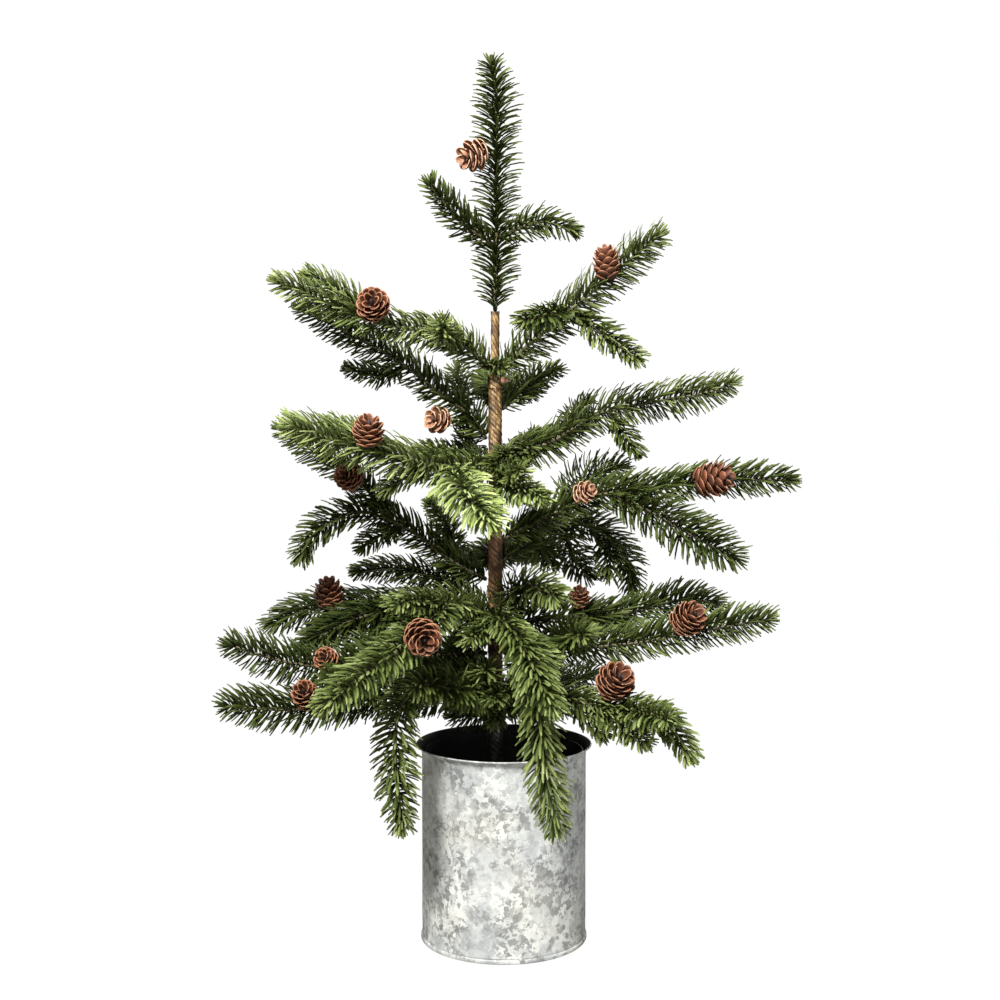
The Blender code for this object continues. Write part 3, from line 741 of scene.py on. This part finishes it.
def add_needles(pieces, roots, tangents, outwards, lengths, leans, young, droop=0.0):
    """Curved flat blades with blunt ends.

    Leans are the angles to the twig at the root and the end, in degrees; droop bends the ends down.
    """
    count = len(roots)
    centres = [roots]
    steps = np.diff(NEEDLE_STATIONS)
    sag = np.array([0.0, 0.0, droop]) * (1 + np.minimum(0, tangents[:, 2:3]))
    ways = []
    for station in NEEDLE_STATIONS:
        lean = np.radians(leans[:, 0] + (leans[:, 1] - leans[:, 0]) * station)[:, None]
        ways.append(np.cos(lean) * tangents + np.sin(lean) * outwards - sag * station)
    for index, step in enumerate(steps):
        middle = unit(ways[index] + ways[index + 1])
        centres.append(centres[-1] + middle * (lengths * step)[:, None])
    sky = np.array([0.0, -0.25, 1.0]) + 0.4 * tangents
    twist = np.radians(rng.normal(0, 24, count))[:, None]
    widths = NEEDLE_WIDTH * rng.uniform(0.85, 1.15, count)[:, None]
    rings = []
    for centre, way, share in zip(centres, ways, NEEDLE_WIDTHS):
        face = unit(sky - (sky * way).sum(-1, keepdims=True) * way)
        across = np.cross(way, face)
        turned_face = face * np.cos(twist) + across * np.sin(twist)
        turned_across = across * np.cos(twist) - face * np.sin(twist)
        sideways = turned_across * (widths * share / 2)
        upwards = turned_face * (NEEDLE_THICKNESS * (0.4 + 0.6 * share) / 2)
        ring = [centre + sideways, centre + upwards, centre - sideways, centre - upwards]
        rings.append(np.stack(ring, 1))
    points = np.stack(rings, 1).reshape(count, -1, 3)
    rows = len(NEEDLE_STATIONS)
    corners = NEEDLE_SIDES * rows
    last = corners - NEEDLE_SIDES
    ends = [(3, 2, 1, 0), (last, last + 1, last + 2, last + 3)]
    template = np.concatenate([grid_quads(rows, NEEDLE_SIDES), ends])
    quads = (template[None] + (np.arange(count) * corners)[:, None, None]).reshape(-1, 4)
    along = np.tile(np.repeat(NEEDLE_STATIONS, NEEDLE_SIDES), count)
    # Below 0, young is painted shade: it darkens the needle's tint on a spray lying in shadow
    tint = np.repeat(rng.uniform(0, 1, count) * (1 + np.minimum(0, young)), corners)
    # Edge marks each blade's two sides, which the needle material darkens with painted shade
    edge = np.tile([1.0, 0.0], count * corners // 2)
    young = np.repeat(np.maximum(0, young), corners)
    pieces.add(points, quads, 0, tint=tint, along=along, young=young, edge=edge)


def spray_growth_and_painted_shade(distances, length, base):
    """How much of a needle's colour is pale new growth, more near the tip; below 0 it is painted shade, which
    darkens the needles of a spray that lies in shadow.
    """
    near_tip = np.clip(1 - (length - distances) / YOUNG_REACH, 0, 1)
    return np.clip(base + 0.16 * near_tip + rng.normal(0, 0.07, len(distances)), -1, 1)


def rise(distances, reach, start):
    """Climbs from the start value to 1 as the distance goes from 0 to the reach."""
    return np.clip(distances / reach, 0, 1) * (1 - start) + start


def add_spray(pieces, route, start, style, twig_radius=1.5 * MM):
    """One spray: ranks of needles along a route, a tuft at its tip, and the twig itself."""
    base_growth_and_painted_shade, full, swing = style
    length = route_length(route)
    twig_end = length - TUFT_REACH
    droop = rng.uniform(0.05, 0.45)
    swing += rng.normal(0, 3)
    for angle, share, lean_root, lean_tip in RANKS:
        phase = rng.uniform(0, NEEDLE_PITCH)
        distances = np.arange(start + phase, twig_end, NEEDLE_PITCH)
        distances = distances + rng.normal(0, 0.45 * MM, len(distances))
        distances = distances[rng.uniform(0, 1, len(distances)) > NEEDLES_MISSING]
        if not len(distances):
            continue
        points, tangents = route_at(route, distances)
        first, second = side_vectors(tangents)
        turn = np.radians(angle + rng.normal(0, 7, len(distances)))[:, None]
        outwards = first * np.cos(turn) + second * np.sin(turn)
        growth = rise(distances - start, 14 * MM, 0.65)
        fading = rise(length - distances, 40 * MM, 0.48)
        lengths = NEEDLE_LENGTH * full * share * growth * fading
        lengths = lengths * rng.normal(1, 0.06, len(distances))
        upright = uprightness(tangents[:, 2:3])
        leans = np.array([lean_root, lean_tip]) * (1 - upright) + np.array(UPRIGHT_LEANS) * upright
        leans = leans + swing + rng.normal(0, (5, 8), (len(distances), 2))
        leans *= rise(length - distances, 30 * MM, 0.72)[:, None]
        young = spray_growth_and_painted_shade(distances, length, base_growth_and_painted_shade)
        roots = points + outwards * 0.5 * MM
        add_needles(pieces, roots, tangents, outwards, lengths, leans, young, droop)
    add_tuft(pieces, route, twig_end, base_growth_and_painted_shade, full)
    add_twig(pieces, route, twig_end, twig_radius, base_growth_and_painted_shade)


def add_tuft(pieces, route, twig_end, base_growth_and_painted_shade, full):
    """Short needles spreading forward from the end of the twig."""
    count = TUFT_COUNT
    distances = np.full(count, twig_end) - rng.uniform(0, 2.5 * MM, count)
    points, tangents = route_at(route, distances)
    first, second = side_vectors(tangents)
    turn = (np.arange(count) * TUFT_TURN + rng.normal(0, 0.2, count))[:, None]
    outwards = first * np.cos(turn) + second * np.sin(turn)
    lean_root = np.linspace(8, 36, count)
    leans = np.stack([lean_root, lean_root * 0.6], -1)
    lengths = NEEDLE_LENGTH * full * rng.uniform(0.44, 0.58, count)
    young = np.clip(base_growth_and_painted_shade + 0.20 + rng.normal(0, 0.07, count), -1, 1)
    add_needles(pieces, points, tangents, outwards, lengths, leans, young)


def add_tube(pieces, centres, tangents, radii, slot, **values):
    """A round rod with closed ends."""
    first, second = side_vectors(tangents)
    turns = (np.arange(TUBE_SIDES) * math.tau / TUBE_SIDES)[None, :, None]
    spokes = first[:, None] * np.cos(turns) + second[:, None] * np.sin(turns)
    rings = centres[:, None] + radii[:, None, None] * spokes
    rows = len(centres)
    ends = [cap_quads(0, True), cap_quads(TUBE_SIDES * (rows - 1), False)]
    pieces.add(rings, np.concatenate([grid_quads(rows, TUBE_SIDES), *ends]), slot, **values)


def add_twig(pieces, route, end, radius, young):
    """The twig itself, a little uneven and thinner towards the tip."""
    distances = np.arange(0, end, 2 * MM)
    points, tangents = route_at(route, distances)
    radii = radius * np.interp(distances, [0, end], [1.0, 0.62])
    radii = radii * rng.uniform(0.92, 1.08, len(distances))
    add_tube(pieces, points, tangents, radii, 1, young=max(0, young))


def add_root_tape(pieces, route):
    """The tape round the branch's wire, from the trunk's surface out to the first needles; its near-black colour
    is painted shade, deep in the foliage.
    """
    points, tangents = route_at(route, np.linspace(0, 8 * MM, 8))
    inwards = tangents[0] * MM
    points = np.concatenate([points[:1] - inwards * reach for reach in (2.5, 2.1, 1.2)] + [points])
    tangents = np.concatenate([tangents[:1]] * 3 + [tangents])
    radii = np.array([0.6, 1.2, 1.5, 1.6, 1.5, 1.55, 1.5, 1.5, 1.4, 1.4, 1.3]) * MM
    add_tube(pieces, points, tangents, radii, 2, edge=0.3)


# On the main spray, then on each twig, the last one serving the rest: share of pale new growth (below 0,
# painted shade that darkens a spray lying in shadow), share of full needle length, and how much wider
# than usual the needles stand, in degrees
STYLES = {
    "leader": ((-0.22, 1.02, 0), (-0.35, 0.95, 2), (-0.1, 0.95, 0)),
    "upper_left": ((0.3, 1.08, -4), (0.4, 1.0, -6), (0.25, 1.0, -6)),
    "upper_right": ((0.1, 1.2, 0), (0.1, 0.9, 0), (0.0, 0.95, 0)),
    "upper_back": ((-0.35, 0.9, 0),),
    "upper_back_right": ((-0.15, 0.85, 0),),
    "upper_mid_left": ((-0.2, 1.0, 0), (-0.35, 0.85, 0), (-0.3, 0.9, 0)),
    "mid_right": ((0.02, 1.12, 0), (-0.25, 0.95, 0), (-0.3, 0.9, 0), (-0.35, 0.9, 0)),
    "mid_front_left": ((0.42, 1.36, -6), (0.74, 1.34, -6), (0.26, 0.95, -5), (0.16, 1.0, -5)),
    "mid_back_left": ((-0.4, 0.9, 0),),
    "mid_front_right": ((0.45, 1.0, -6), (0.15, 0.95, 0)),
    "mid_back_right": ((-0.4, 0.85, 0),),
    "low_mid_right": ((-0.18, 1.1, 0), (-0.55, 1.25, 2), (-0.7, 1.3, 6)),
    "low_mid_back_right": ((-0.2, 1.0, 0), (-0.25, 1.25, 0), (-0.3, 1.3, 0), (-0.3, 1.1, 0)),
    "low_mid_left": ((-0.75, 1.0, 0), (-0.65, 1.0, 0), (-0.55, 0.95, 0), (-0.85, 0.6, 0)),
    "low_mid_front": ((0.02, 1.2, 0),),
    "low_mid_back_left": ((-0.4, 0.9, 0),),
    "low_mid_back": ((-0.5, 1.0, 0),),
    "low_back_left": ((-1.0, 1.25, 0), (-1.0, 1.3, 4), (-1.0, 1.2, 0)),
    "low_front_left": ((0.14, 1.08, -2), (0.12, 1.0, -2)),
    "low_left": ((-0.7, 1.2, 2),),
    "low_far_left": ((-0.75, 1.3, 4), (-0.75, 1.2, 0)),
    "droop_left": ((0.0, 0.95, 8),),
    "front": ((0.04, 1.05, -7), (0.04, 1.0, 0), (0.09, 0.95, -4)),
    "low_right": ((-0.05, 1.1, 0),),
    "low_back_right": ((-0.25, 1.15, 0),),
    "droop_right": (
        (0.15, 1.0, -4), (-0.2, 0.95, 0), (-0.1, 0.85, 0), (0.1, 0.85, 0), (0.15, 1.0, -4),
    ),
    "low_front": ((0.0, 1.2, 0),),
    "low_back": ((-0.55, 1.32, 4),),
    "low_back_far_left": ((-0.9, 1.0, 0),),
}

# Short side shoots: where on the main spray they start (a share of it), their way, and their style
SHOOTS = {
    "upper_left": ((0.02, ((-2, -13, 397), (5, -24, 400)), (0.0, 0.9, 4)),),
    "mid_front_right": ((0.02, ((0, -14, 338), (-4, -26, 336)), (-0.1, 0.8, 0)),),
    "low_front": (
        (0.02, ((2, -14, 168), (6, -27, 160)), (-0.25, 1.0, 4)),
        (0.02, ((-5, -15, 162), (-12, -28, 152)), (-0.5, 1.1, 4)),
    ),
    "low_back_left": (
        (0.35, ((-90, 26, 220), (-116, 30, 209)), (-0.95, 1.1, 0)),
        (0.55, ((-118, 30, 216), (-146, 34, 202)), (-0.95, 1.1, 0)),
    ),
    "low_left": ((0.42, ((-92, -12, 206), (-114, -4, 204)), (-0.7, 1.15, 4)),),
    "low_back": (
        (0.05, ((10, 18, 156), (36, 27, 150)), (-0.6, 1.1, 4)),
        (0.05, ((-15, 19, 154), (-44, 27, 150)), (-0.6, 1.1, 4)),
    ),
}


def build_branch(name, materials):
    pieces = Pieces()
    main, *twigs = spray_routes(name)
    styles = STYLES[name]
    add_root_tape(pieces, main)
    add_spray(pieces, main, -1 * MM, styles[0])
    for index, route in enumerate(twigs):
        add_spray(pieces, route, 5 * MM, styles[min(index + 1, len(styles) - 1)], 1.2 * MM)
    for share, way, style in SHOOTS.get(name, ()):
        route = smooth_route([share_point(main, share), *metres(way)])
        add_spray(pieces, route, 2 * MM, style, 1.0 * MM)
    piece = pieces.finish("spray_" + name, materials, 40)
    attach(piece, "bough_" + name)
    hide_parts("branch_" + name)


# ---- Cones


GOLDEN_ANGLE = math.radians(137.5)
TAN_CONES = ("cone_leader", "cone_upper_mid_left", "cone_mid_back")
CONE_CORE_WIDTHS = np.array([0.12, 0.2, 0.24, 0.25, 0.23, 0.19, 0.13, 0.05])


def add_scale(pieces, base, rim, turn, width, cup, tint):
    """One woody scale: a cupped, rounded plate from the cone's core out to its rim.

    Base and rim are (radius, height) pairs of its middle line.
    """
    v = np.linspace(0, 1, 8)[:, None]
    u = np.linspace(-1, 1, 9)[None, :]
    shape = np.interp(v, [0, 0.3, 0.6, 0.85, 1.0], [0.30, 0.60, 0.92, 1.0, 0.88])
    way = v * (1 - 0.30 * np.abs(u) ** 2.5)
    knee = (base[0] + (rim[0] - base[0]) * 0.80, base[1] + (rim[1] - base[1]) * 0.30)
    radius = (1 - way) ** 2 * base[0] + 2 * way * (1 - way) * knee[0] + way**2 * rim[0]
    height = (1 - way) ** 2 * base[1] + 2 * way * (1 - way) * knee[1] + way**2 * rim[1]
    side = u * shape * width / 2
    angle = turn + side / np.maximum(radius, width * 0.45)
    radius = radius - cup * width * u**2 * v
    outer = np.stack([radius * np.cos(angle), radius * np.sin(angle), height], -1)
    normal = unit(np.cross(np.gradient(outer, axis=1), np.gradient(outer, axis=0)))
    thickness = np.interp(v, [0, 0.6, 0.94, 1.0], [0.4, 0.5, 0.8, 0.5])[..., None] * MM
    edge = np.clip(np.maximum(v, 0.55 + 0.45 * np.abs(u) ** 4) * np.minimum(1, v * 2.2), 0, 1).ravel()
    points, quads = plate(outer, outer - normal * thickness)
    pieces.add(points, quads, 0, tint=tint, edge=np.concatenate([edge, edge]))


def build_cone(name, body, material, count, openness):
    low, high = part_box(name)
    tip, length, width = CONES[name]
    half_length = length * MM / 2
    half_width = width * MM / 2
    pieces = Pieces()
    for index in range(count):
        share = index / (count - 1)
        rim_share = -0.60 + 1.56 * share**0.92
        profile = math.sqrt(max(0.0, 1 - (max(rim_share, -0.55) * 0.97) ** 2)) ** 0.85
        reach = half_width * max(0.10, profile) * rng.uniform(0.96, 1.03)
        rim_height = (rim_share + rng.normal(0, 0.02)) * half_length
        rise = half_length * (0.42 + 0.30 * share) * (1.3 - 0.6 * openness)
        scale_width = half_width * (1.30 - 0.62 * share) * math.sqrt(40 / count)
        base, rim = (0.12 * half_width, rim_height - rise), (reach, rim_height)
        add_scale(pieces, base, rim, index * GOLDEN_ANGLE, scale_width, 0.10, rng.uniform(0, 1))
    rings = len(CONE_CORE_WIDTHS)
    core = np.array([(0, 0, z) for z in np.linspace(-0.9, 0.72, rings) * half_length])
    ways = np.tile([0.0, 0.0, 1.0], (rings, 1))
    add_tube(pieces, core, ways, half_width * CONE_CORE_WIDTHS, 0, edge=0.1)
    piece = pieces.finish(name.replace("cone_", "pine_cone_"), [material])
    piece.rotation_euler = Vector(tip).to_track_quat("Z", "X").to_euler()
    piece.location = (low + high) / 2
    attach(piece, body)
    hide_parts(name)


# ---- Trunk


def weld(mesh):
    """Closes seams, and drops the faces that an end trimmed to nothing."""
    bm = bmesh.new()
    bm.from_mesh(mesh)
    bmesh.ops.remove_doubles(bm, verts=bm.verts, dist=0.01 * MM)
    bmesh.ops.recalc_face_normals(bm, faces=bm.faces)
    bm.to_mesh(mesh)
    bm.free()


# Phase through one lap of tape, its height over the trunk in millimetres, and how much it is an edge, where the
# tape material paints shade into the overlap's step
TAPE_PROFILE = (
    (0.0, -0.55, 1.0),
    (0.12, -0.02, 0.4),
    (0.3, 0.04, 0.05),
    (0.55, -0.04, 0.05),
    (0.78, -0.14, 0.2),
    (0.93, -0.32, 0.7),
)
TAPE_COLUMNS = 64
TAPE_LAP = 0.6 * MM  # past the CAD solid at each end
CORE_RADIUS = 2.15 * MM

# Pitch of the winding in millimetres, the strips side by side in it, and the tape's shade
WINDINGS = {
    "trunk_wrap_base": (26, 7, "dark"),
    "tier_binding_bottom": (20, 6, "brown"),
    "trunk_wrap_low": (25, 7, "brown"),
    "tier_binding_low": (18, 6, "brown"),
    "trunk_wrap_mid": (24, 7, "brown"),
    "tier_binding_mid": (18, 6, "gold"),
    "trunk_wrap_high": (24, 7, "gold"),
    "tier_binding_top": (16, 5, "gold"),
    "trunk_wrap_top": (30, 6, "gold"),
}


def build_tape(name, pitch, starts, material):
    """Tape wound round a stretch of the trunk, stepping down at each overlap."""
    low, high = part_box(name)
    bottom, top = low.z - TAPE_LAP, high.z + TAPE_LAP
    radius = (high.x - low.x) / 2 - 0.05 * MM
    lead = pitch * MM / starts
    turns = np.linspace(0, 1, TAPE_COLUMNS + 1)
    angle = math.pi / 2 + turns * math.tau
    shifts = rng.normal(0, 0.12, starts) * lead
    swells = rng.normal(0, 0.09 * MM, starts)
    rows, edges = [], []

    def add_row(r, z, edge):
        rows.append(np.stack([r * np.cos(angle), r * np.sin(angle), np.clip(z, bottom, top)], -1))
        edges.append(np.full(TAPE_COLUMNS + 1, edge))

    add_row(CORE_RADIUS + 0 * turns, bottom + 0 * turns, 0.5)
    for lap in range(-1, math.ceil((top - bottom + pitch * MM) / lead) + 2):
        own = lap % starts
        for phase, step, edge in TAPE_PROFILE:
            z = bottom + (lap + phase) * lead - pitch * MM * turns + shifts[own]
            ripple = 0.07 * MM * np.sin(turns * math.tau * 4 + own * 2.1) * (phase > 0.05)
            crinkle = rng.normal(0, 0.03 * MM, TAPE_COLUMNS + 1)
            crinkle[-1] = crinkle[0]
            add_row(radius + step * MM + swells[own] + ripple + crinkle, z, edge)
    add_row(CORE_RADIUS + 0 * turns, top + 0 * turns, 0.5)
    pieces = Pieces()
    quads = grid_quads(len(rows), TAPE_COLUMNS + 1, False)
    pieces.add(np.array(rows), quads, 0, edge=np.array(edges).ravel())
    piece = pieces.finish("tape_" + name, [material])
    weld(piece.data)
    piece.location = ((low.x + high.x) / 2, (low.y + high.y) / 2, 0)
    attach(piece, "stand")
    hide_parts(name)


def build_torn_end(material):
    """The torn end of the tape, which sticks out to the right of the top binding."""
    low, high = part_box("tier_binding_top")
    start = np.array([(low.x + high.x) / 2 + 3.6 * MM, -3.4 * MM, (low.z + high.z) / 2 + 1.5 * MM])
    v = np.linspace(0, 1, 9)[:, None]
    u = np.linspace(-1, 1, 7)[None, :]
    ragged = 1 + 0.12 * np.sin(u * 5.0 + 1.0)
    x = start[0] + 6.5 * MM * v * ragged + 0 * u
    y = start[1] - 1.4 * MM * np.sin(v * 2.2) + 0.9 * MM * u**2 + 0 * v
    z = start[2] + 2.3 * MM * u * (1 - 0.45 * v) - 0.6 * MM * v + 0.5 * MM * np.sin(4 * v + 2 * u)
    front = np.stack([x, y, z], -1)
    pieces = Pieces()
    pieces.add(*plate(front, front + np.array([0, 0.35 * MM, 0])), 0, edge=0.3)
    piece = pieces.finish("torn_tape_end", [material])
    weld(piece.data)
    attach(piece, "stand")


# ---- Pot


POT_STEPS = 160
POT_SHARP_ANGLE = 35
BLACK = ((0.004, 0.004, 0.004), (0.009, 0.009, 0.008))


def arc(centre, radius, start, end, steps):
    """Points of a lathe outline on an arc, with its angles in degrees."""
    angles = [math.radians(start + (end - start) * i / steps) for i in range(steps + 1)]
    return [(centre[0] + radius * math.cos(a), centre[1] + radius * math.sin(a)) for a in angles]


def lathe_piece(name, outline, material, node):
    """A piece turned round Z from (radius, height) points in millimetres.

    The outline is a closed loop, or a line with both ends on Z.
    """
    bm = bmesh.new()
    corners = [bm.verts.new((radius * MM, 0, height * MM)) for radius, height in outline]
    edges = [bm.edges.new(pair) for pair in zip(corners, corners[1:])]
    if outline[0][0] > 0:
        edges.append(bm.edges.new((corners[-1], corners[0])))
    bmesh.ops.spin(
        bm, geom=corners + edges, axis=(0, 0, 1), angle=math.tau, steps=POT_STEPS, use_merge=True
    )
    bmesh.ops.remove_doubles(bm, verts=bm.verts, dist=0.01 * MM)
    bmesh.ops.recalc_face_normals(bm, faces=bm.faces)
    mesh = bpy.data.meshes.new(name)
    bm.to_mesh(mesh)
    bm.free()
    mesh.shade_smooth()
    mesh.set_sharp_from_angle(angle=math.radians(POT_SHARP_ANGLE))
    mesh.materials.append(material)
    piece = add_object(name, mesh)
    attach(piece, "stand")
    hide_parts(node)
    return piece


def build_pot():
    zinc = galvanised_material()
    flare = [(57.0, 128.5), (57.15, 131.0), (57.6, 133.0), (58.6, 134.9), (60.0, 136.1)]
    shell = [
        (57, 3.5), (57.15, 20), (57.0, 60), (57.1, 100),
        *flare,
        *arc((60.5, 136.5), 0.55, 250, 480, 10),
        *((radius - 0.55, height + 0.3) for radius, height in reversed(flare)),
        (56.3, 100), (56.3, 3.5),
    ]
    sleeve = lathe_piece("pot_sleeve", shell, zinc, "pot_shell")
    inside = plain_material("pot_inside", *BLACK, 220, 0.75)
    paint_inside(sleeve, inside)
    base = [
        (0, 0.9), (54.2, 0.9), (55.0, 0.0),
        *arc((56.9, 1.1), 1.1, 270, 360, 5),
        *arc((56.9, 2.1), 1.1, 0, 90, 5),
        (55.8, 3.2), (55.8, 2.0), (0, 2.0),
    ]
    lathe_piece("pot_bottom", base, zinc, "pot_base")
    liner = [
        (0, 2.3), (55.5, 2.3), (55.5, 132), (55.2, 132.4),
        (54.5, 132.4), (54.3, 132), (54.3, 3.6), (0, 3.6),
    ]
    plastic = plain_material("liner_plastic", *BLACK, 220, 0.75)
    lathe_piece("pot_liner", liner, plastic, "liner_cup")


def paint_inside(piece, material):
    """Gives the faces that look towards the pot's axis a material of their own."""
    piece.data.materials.append(material)
    for face in piece.data.polygons:
        outwards = face.center.xy.normalized()
        if face.normal.xy.dot(outwards) < -0.15:
            face.material_index = 1


def paint_node(name, material):
    for slot in frame["nodes"][name].material_slots:
        slot.material = material


# ---- The whole tree


# Dark, middle and light
TAPE_COLOURS = {
    "gold": ((0.030, 0.014, 0.005), (0.118, 0.064, 0.022), (0.38, 0.25, 0.10)),
    "brown": ((0.034, 0.015, 0.006), (0.180, 0.080, 0.031), (0.44, 0.25, 0.11)),
    "torn": ((0.30, 0.13, 0.085), (0.50, 0.25, 0.17), (0.70, 0.42, 0.30)),
    # Near black: painted shade, for the tape at the branch roots and at the trunk's base, which sit in shade
    "dark": ((0.005, 0.004, 0.002), (0.016, 0.012, 0.006), (0.035, 0.027, 0.014)),
}

# Dark, middle and the rim's painted highlight, then how far out along a scale its painted shade ends
RED_SCALES = ((0.038, 0.010, 0.004), (0.140, 0.038, 0.013), (0.36, 0.17, 0.09), (0.3, 0.85))
TAN_SCALES = ((0.130, 0.045, 0.022), (0.400, 0.190, 0.110), (0.62, 0.42, 0.30), (0.15, 0.6))


def build_tree():
    build_pot()
    cement = plain_material("cement", (0.035, 0.034, 0.030), (0.10, 0.098, 0.09), 130, 0.9)
    steel = plain_material("core_steel", (0.12, 0.12, 0.12), (0.24, 0.24, 0.23), 300, 0.45, 0.8)
    paint_node("base_weight", cement)
    paint_node("trunk_core", steel)
    tapes = {shade: tape_material("tape_" + shade, *colours) for shade, colours in TAPE_COLOURS.items()}
    for name, (pitch, starts, shade) in WINDINGS.items():
        build_tape(name, pitch, starts, tapes[shade])
    build_torn_end(tapes["torn"])
    sprays = [needle_material(), bark_material(), tapes["dark"]]
    for name in BRANCHES:
        build_branch(name, sprays)
    red = cone_material("cone_red", *RED_SCALES)
    tan = cone_material("cone_tan", *TAN_SCALES)
    bodies = frame["record"]["behaviour"]["bodies"]
    owners = {node: body for body, nodes in bodies.items() for node in nodes}
    for name in CONES:
        if name in TAN_CONES:
            build_cone(name, owners[name], tan, 20, 0.85)
        else:
            build_cone(name, owners[name], red, 38, 0.5)


build_tree()
add_studio()
